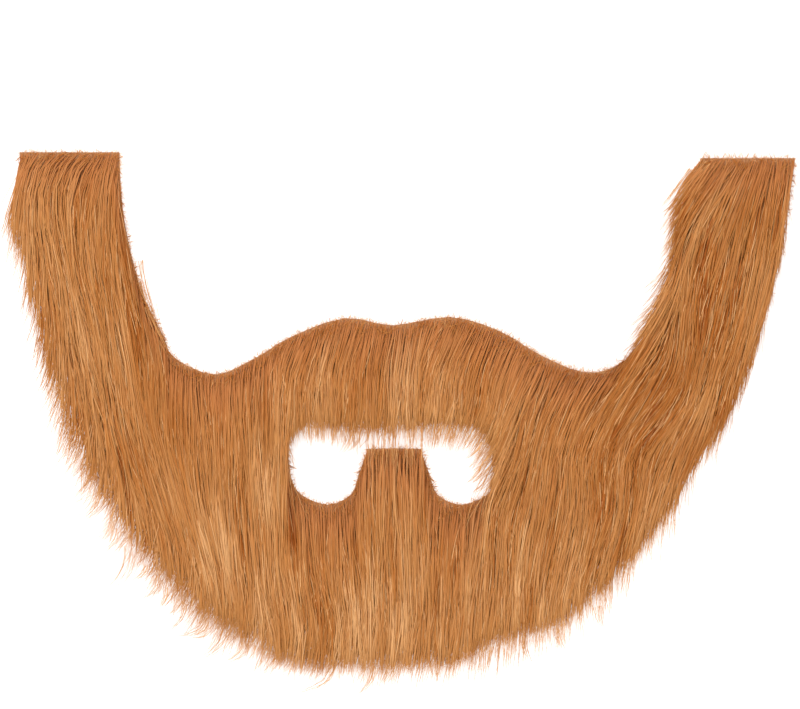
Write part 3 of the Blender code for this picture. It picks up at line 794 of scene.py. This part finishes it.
def hair_piece(name, kinds):
    """One joined piece of hairs of several kinds, built from arrays."""
    built = [strands(kind) for kind in kinds]
    starts = np.cumsum([0] + [len(corners) for corners, _, _ in built[:-1]])
    corners = np.concatenate([corners for corners, _, _ in built])
    faces = np.concatenate([faces + start for (_, faces, _), start in zip(built, starts)])
    places = np.concatenate([places for _, _, places in built])
    mesh = bpy.data.meshes.new(name)
    mesh.vertices.add(len(corners))
    mesh.vertices.foreach_set("co", corners.reshape(-1))
    mesh.loops.add(len(faces))
    mesh.loops.foreach_set("vertex_index", faces.astype(np.int32))
    mesh.polygons.add(len(faces) // 3)
    mesh.polygons.foreach_set("loop_start", np.arange(0, len(faces), 3, dtype=np.int32))
    mesh.polygons.foreach_set("use_smooth", np.zeros(len(faces) // 3, bool))
    mesh.update(calc_edges=True)
    mesh.uv_layers.new(name="OFBake").data.foreach_set("uv", places[faces].astype(np.float32).reshape(-1))
    mesh.validate()
    piece = bpy.data.objects.new(name, mesh)
    bpy.context.collection.objects.link(piece)
    return piece


def pile(ground):
    """All the hair, in one piece for each part of the beard."""
    patch_x, patch_y = np.array([photo_place(p.column, p.row) for p in PATCHES]).T
    names = np.array([p.name for p in PATCHES])
    finish = pile_material()
    shares = {name: [] for name in sorted(set(names))}
    kinds = [long_hair(ground), edge_fuzz(ground), rim_fuzz(ground), flick_hair(ground)]
    kinds += [loose_hair(ground, kind) for kind in (STRAYS, HALO, FILLING)]
    for kind in kinds:
        owner = names[nearest_of(kind.centres[:, 0, 0], kind.centres[:, 0, 1], patch_x, patch_y)]
        for name, share in shares.items():
            own = owner == name
            share.append(Hair(*(part[own] for part in kind[:4]), kind.levels, kind.start))
    for name, share in shares.items():
        piece = hair_piece(name, share)
        piece.data.materials.append(finish)
        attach(piece, "root")
        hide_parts("fur")


def new_finish(name, roughness, specular):
    """A new material, its node tree and its shader."""
    material = bpy.data.materials.new(name)
    material.use_nodes = True
    shader = material.node_tree.nodes["Principled BSDF"]
    shader.inputs["Roughness"].default_value = roughness
    shader.inputs["Specular IOR Level"].default_value = specular
    return material, material.node_tree, shader


def parted(tree, place):
    """The three numbers of a place, as sockets."""
    split = tree.nodes.new("ShaderNodeSeparateXYZ")
    tree.links.new(place, split.inputs["Vector"])
    return split.outputs


def coloured(tree, share, stops):
    """The colour that a number from 0 to 1 picks out of a row of stops."""
    node = tree.nodes.new("ShaderNodeValToRGB")
    ramp = node.color_ramp
    while len(ramp.elements) < len(stops):
        ramp.elements.new(0.5)
    for element, (place, colour) in zip(ramp.elements, stops):
        element.position = place
        element.color = (*colour, 1)
    tree.links.new(share, node.inputs["Fac"])
    return node.outputs["Color"]


def ranged(tree, value, low, high, most=1.0):
    """From 0 to the most, as a value goes from low to high."""
    node = tree.nodes.new("ShaderNodeMapRange")
    node.inputs["From Min"].default_value = low
    node.inputs["From Max"].default_value = high
    node.inputs["To Max"].default_value = most
    tree.links.new(value, node.inputs["Value"])
    return node.outputs["Result"]


def mixed(tree, share, first, second):
    """Two colours mixed by a share: each is a socket or a plain colour."""
    node = tree.nodes.new("ShaderNodeMix")
    node.data_type = "RGBA"
    for name, colour in (("A", first), ("B", second)):
        if isinstance(colour, tuple):
            node.inputs[name].default_value = (*colour, 1)
        else:
            tree.links.new(colour, node.inputs[name])
    tree.links.new(share, node.inputs["Factor"])
    return node.outputs["Result"]


def noise(tree, place, scale, detail):
    """Smooth random values round a half, at a scale and with finer ones over them."""
    node = tree.nodes.new("ShaderNodeTexNoise")
    node.inputs["Scale"].default_value = scale
    node.inputs["Detail"].default_value = detail
    tree.links.new(place, node.inputs["Vector"])
    return node.outputs["Fac"]


def reckon(tree, operation, first, second=None):
    """One step of arithmetic in a finish: each operand is a socket or a plain number."""
    node = tree.nodes.new("ShaderNodeMath")
    node.operation = operation
    for socket, operand in zip(node.inputs, (first, second)):
        if isinstance(operand, (int, float)):
            socket.default_value = operand
        elif operand is not None:
            tree.links.new(operand, socket)
    return node.outputs["Value"]


def pile_material():
    """Ginger hair: an even ginger at the root, golden at the tip, each hair with its own tone."""
    material, tree, shader = new_finish("ginger_pile", 0.5, 0.06)
    uv = tree.nodes.new("ShaderNodeUVMap")
    uv.uv_map = "OFBake"
    tone, lengthwise, _ = parted(tree, uv.outputs["UV"])
    colour = mixed(tree, ranged(tree, lengthwise, 0.0, 0.5), ROOT_COLOUR, coloured(tree, tone, HAIR_COLOURS))
    colour = mixed(tree, ranged(tree, lengthwise, 0.6, 1.0, 0.5), colour, TIP_COLOUR)
    tree.links.new(colour, shader.inputs["Base Color"])
    return material


def knit_material():
    """The ground cloth's ginger brown knit: upright columns of slanting loops, a matt fluffy yarn, painted shade
    between loops.
    """
    material, tree, shader = new_finish("ground_knit", 0.92, 0.2)
    shader.inputs["Sheen Weight"].default_value = 0.25
    shader.inputs["Sheen Roughness"].default_value = 0.6
    place = tree.nodes.new("ShaderNodeTexCoord").outputs["Object"]
    x, y, _ = parted(tree, place)
    column = reckon(tree, "FRACT", reckon(tree, "DIVIDE", x, LOOP_WIDTH))
    from_middle = reckon(tree, "ABSOLUTE", reckon(tree, "SUBTRACT", column, 0.5))
    from_middle = reckon(tree, "MULTIPLY", from_middle, 2.0)
    row = reckon(tree, "FRACT", reckon(tree, "ADD", reckon(tree, "DIVIDE", y, LOOP_HEIGHT), from_middle))
    loop = reckon(tree, "SINE", reckon(tree, "MULTIPLY", row, math.pi))
    round_over = reckon(tree, "SUBTRACT", 1.0, reckon(tree, "POWER", from_middle, 3.0))
    loop = reckon(tree, "ADD", reckon(tree, "MULTIPLY", loop, 0.6), 0.4)
    raised = reckon(tree, "MULTIPLY", round_over, loop)
    fluff = noise(tree, place, 2600, 3)
    uneven = noise(tree, place, 45, 2)
    # Painted shade: the yarn is darker where the loops sink; the fluff and the unevenness are the yarn's own
    # tone.
    tone_and_painted_shade = reckon(tree, "MULTIPLY", raised, 0.6)
    tone_and_painted_shade = reckon(tree, "ADD", tone_and_painted_shade, reckon(tree, "MULTIPLY", fluff, 0.25))
    tone_and_painted_shade = reckon(tree, "ADD", tone_and_painted_shade, reckon(tree, "MULTIPLY", uneven, 0.2))
    tree.links.new(coloured(tree, tone_and_painted_shade, KNIT_COLOURS), shader.inputs["Base Color"])
    bump = tree.nodes.new("ShaderNodeBump")
    bump.inputs["Strength"].default_value = 0.8
    bump.inputs["Distance"].default_value = 0.3 * MM
    raised = reckon(tree, "ADD", raised, reckon(tree, "MULTIPLY", fluff, 0.3))
    tree.links.new(raised, bump.inputs["Height"])
    tree.links.new(bump.outputs["Normal"], shader.inputs["Normal"])
    return material


def ground_cloth():
    """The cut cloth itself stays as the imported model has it, in a knitted finish."""
    cloth = bpy.data.objects["backing"]
    knit = knit_material()
    cloth.data.materials.clear()
    cloth.data.materials.append(knit)


def floor():
    """A plain white table top."""
    empty_hands()
    bpy.ops.mesh.primitive_plane_add(size=TABLE_WIDTH, location=(0, 0, -TABLE_DROP))
    top = bpy.context.object
    top.name = "floor"
    material, _, shader = new_finish("white_table", 0.9, 0.5)
    shader.inputs["Base Color"].default_value = (TABLE_GREY, TABLE_GREY, TABLE_GREY, 1)
    shader.inputs["Emission Color"].default_value = (1, 1, 1, 1)
    shader.inputs["Emission Strength"].default_value = TABLE_GLOW
    top.data.materials.append(material)


def camera():
    """Straight above, with the photograph's frame."""
    x, y = photo_place(PHOTO_WIDTH / 2, PHOTO_HEIGHT / 2)
    data = bpy.data.cameras.new("camera")
    data.sensor_width = SENSOR_WIDTH
    data.lens = SENSOR_WIDTH * CAMERA_HEIGHT / (PHOTO_WIDTH * photo_scale())
    data.clip_start, data.clip_end = CAMERA_CLIPS
    piece = bpy.data.objects.new("camera", data)
    piece.location = (x, y, CAMERA_HEIGHT + SCALE_HEIGHT)
    bpy.context.collection.objects.link(piece)
    bpy.context.scene.camera = piece


def studio():
    """Even white light from all round, with soft boxes above that look at the beard's middle."""
    world = bpy.data.worlds.new("studio")
    bpy.context.scene.world = world
    world.use_nodes = True
    world.node_tree.nodes["Background"].inputs["Color"].default_value = (1, 1, 1, 1)
    world.node_tree.nodes["Background"].inputs["Strength"].default_value = ROOM_LIGHT
    for lamp in LAMPS:
        data = bpy.data.lights.new(lamp.name, "AREA")
        data.size, data.energy = lamp.size, lamp.power
        piece = bpy.data.objects.new(lamp.name, data)
        piece.location = lamp.place
        piece.rotation_euler = (-Vector(lamp.place)).to_track_quat("-Z", "Y").to_euler()
        bpy.context.collection.objects.link(piece)
    bpy.context.scene.view_settings.view_transform = "Standard"


camera()
studio()
floor()
ground = Ground()
ground_cloth()
pile(ground)
